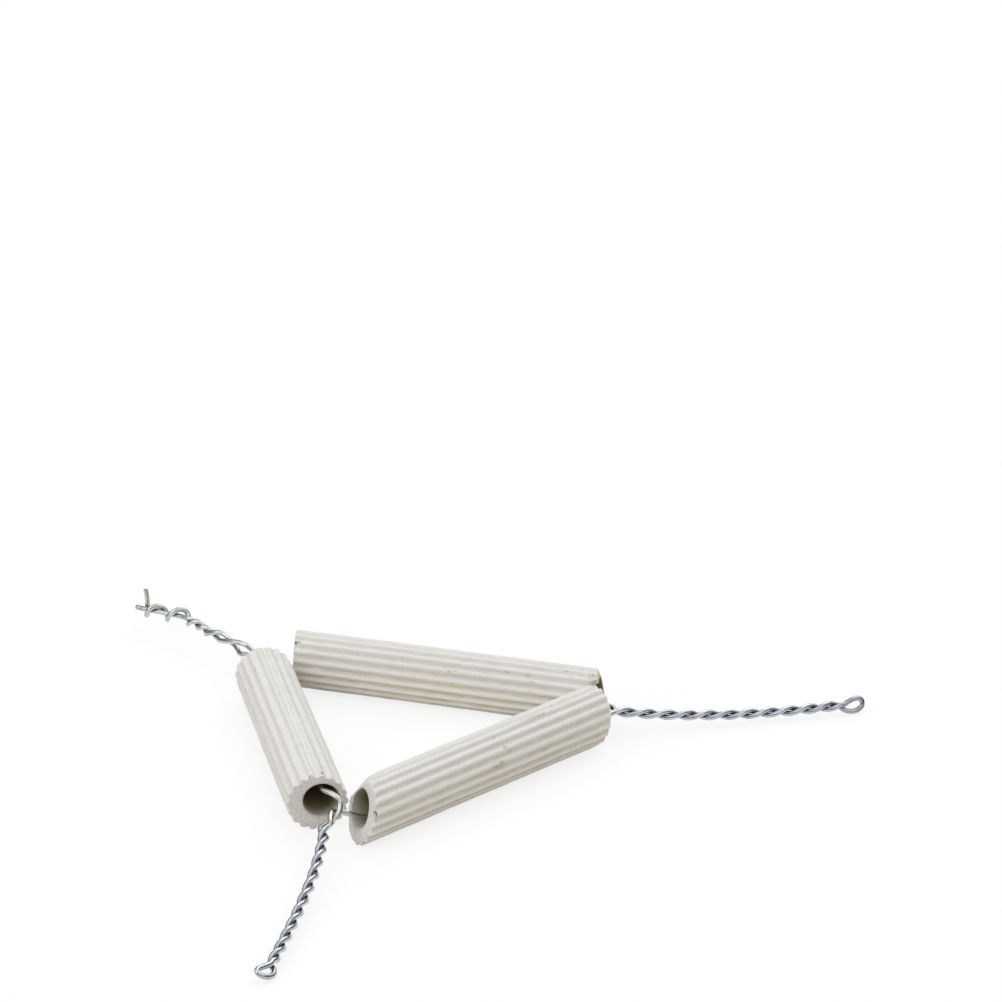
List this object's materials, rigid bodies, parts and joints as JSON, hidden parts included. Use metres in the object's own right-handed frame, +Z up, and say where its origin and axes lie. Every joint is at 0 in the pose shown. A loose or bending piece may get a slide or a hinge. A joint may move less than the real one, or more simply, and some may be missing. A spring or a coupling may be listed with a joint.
{
  "type": "pipe clay triangle",
  "caption": "Fluted fired-clay tubes threaded on bent galvanised wire in a flat triangle with twisted wire tails, for holding a crucible over a burner.",
  "frame": {"origin": "middle of the triangle on the plane that it rests on, under the crucible's centre", "axes": "+X along the rear tube, +Y from the front corner towards the rear tube, +Z up"},
  "size_m": [0.2083, 0.1841, 0.0153],
  "materials": {
    "clay": "matte",
    "wire": "satin"
  },
  "bodies": {
    "root": {"left_tube": "clay", "right_tube": "clay", "rear_tube": "clay", "wire": "wire"}
  },
  "joints": []
}
